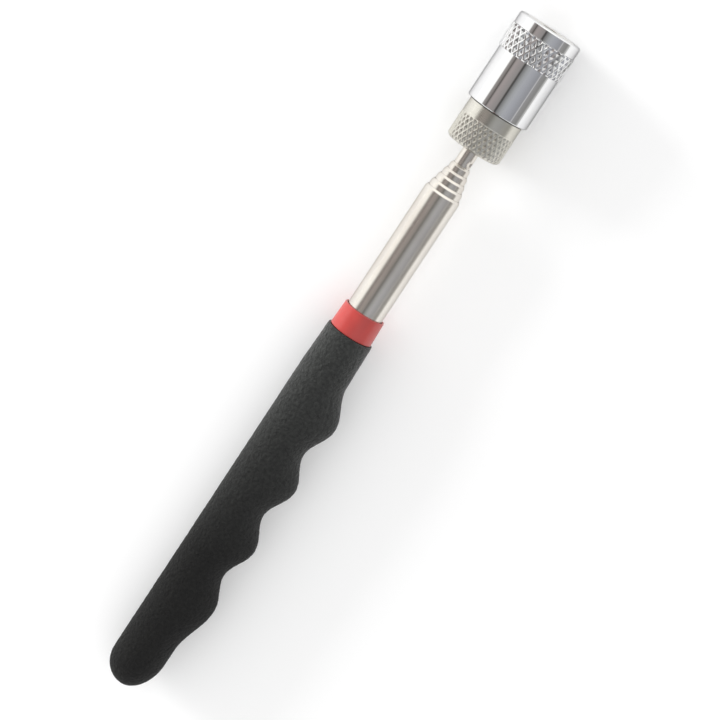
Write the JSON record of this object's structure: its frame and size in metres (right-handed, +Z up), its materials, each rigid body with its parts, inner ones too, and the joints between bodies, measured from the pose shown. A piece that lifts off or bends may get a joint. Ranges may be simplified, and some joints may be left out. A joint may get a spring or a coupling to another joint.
{
  "type": "magnetic pickup tool",
  "caption": "Telescoping pickup tool: black foam finger grip, red collar, nested plated tubes, and a knurled screw-on head holding a ring magnet and a lamp.",
  "frame": {"origin": "centre of the bottom of the closed tool's box, on the surface that the tool lies on", "axes": "+X along the tool's axis from the closed end of the grip to the magnet, +Y towards the palm side of the grip (the finger ridges point to -Y), +Z up"},
  "size_m": [0.201, 0.0194, 0.0178],
  "materials": {
    "black_foam": "matte",
    "red_plastic": "satin",
    "black_plastic": "matte",
    "plated_tube": "polished",
    "spring_bronze": "satin",
    "satin_nickel": "satin",
    "plain_steel": "satin",
    "spring_steel": "satin",
    "seal_rubber": "matte",
    "cell_steel": "satin",
    "insulation": "matte",
    "head_chrome": "polished",
    "magnet_nickel": "satin",
    "clear_epoxy": "gloss",
    "tinned_wire": "satin",
    "white_plastic": "matte",
    "circuit_board": "satin",
    "gold_contact": "satin"
  },
  "bodies": {
    "handle": {"foam_grip": "black_foam", "red_collar": "red_plastic", "outer_tube": "plated_tube", "end_plug": "black_plastic"},
    "section_2": {"tube_section_2": "plated_tube", "friction_clip_2": "spring_bronze"},
    "section_3": {"tube_section_3": "plated_tube", "friction_clip_3": "spring_bronze"},
    "section_4": {"tube_section_4": "plated_tube", "friction_clip_4": "spring_bronze"},
    "section_5": {"tube_section_5": "plated_tube", "friction_clip_5": "spring_bronze"},
    "rod_clip": {"friction_clip_6": "spring_bronze"},
    "rod": {"rod_tube": "plated_tube", "neck_stud": "plain_steel", "tail_nut": "satin_nickel", "contact_spring": "spring_steel", "seal_ring": "seal_rubber"},
    "battery_stack": {"battery_sleeve": "insulation", "button_cell_1": "cell_steel", "button_cell_2": "cell_steel", "button_cell_3": "cell_steel"},
    "head": {"head_shell": "head_chrome", "ring_magnet": "magnet_nickel", "magnet_pole_washer": "plain_steel", "led_lamp": "clear_epoxy", "led_leg_positive": "tinned_wire", "led_leg_negative": "tinned_wire", "led_holder": "white_plastic", "led_board": "circuit_board", "board_contact": "gold_contact"}
  },
  "joints": [
    {"name": "section_2_slide", "type": "slide", "parent": "handle", "child": "section_2", "axis": [1, 0, 0], "range_m": [0, 0.1307]},
    {"name": "section_3_slide", "type": "slide", "parent": "section_2", "child": "section_3", "axis": [1, 0, 0], "range_m": [0, 0.1232]},
    {"name": "section_4_slide", "type": "slide", "parent": "section_3", "child": "section_4", "axis": [1, 0, 0], "range_m": [0, 0.1157]},
    {"name": "section_5_slide", "type": "slide", "parent": "section_4", "child": "section_5", "axis": [1, 0, 0], "range_m": [0, 0.1082]},
    {"name": "rod_slide", "type": "slide", "parent": "section_5", "child": "rod_clip", "axis": [1, 0, 0], "range_m": [0, 0.1007]},
    {"name": "rod_spin", "type": "hinge", "parent": "rod_clip", "child": "rod", "pos_m": [0.055, 0.00081, 0.0089], "axis": [1, 0, 0], "continuous": true},
    {"name": "head_screw_travel", "type": "slide", "parent": "rod", "child": "battery_stack", "axis": [1, 0, 0], "range_m": [0, 0.0038], "deforming": ["contact_spring"]},
    {"name": "head_twist", "type": "hinge", "parent": "battery_stack", "child": "head", "pos_m": [0.085, 0.00081, 0.0089], "axis": [1, 0, 0], "range_deg": [0, 1800]}
  ],
  "couplings": [
    {"joint": "head_screw_travel", "follows": "head_twist", "m_per_rad": 0.00011937}
  ]
}
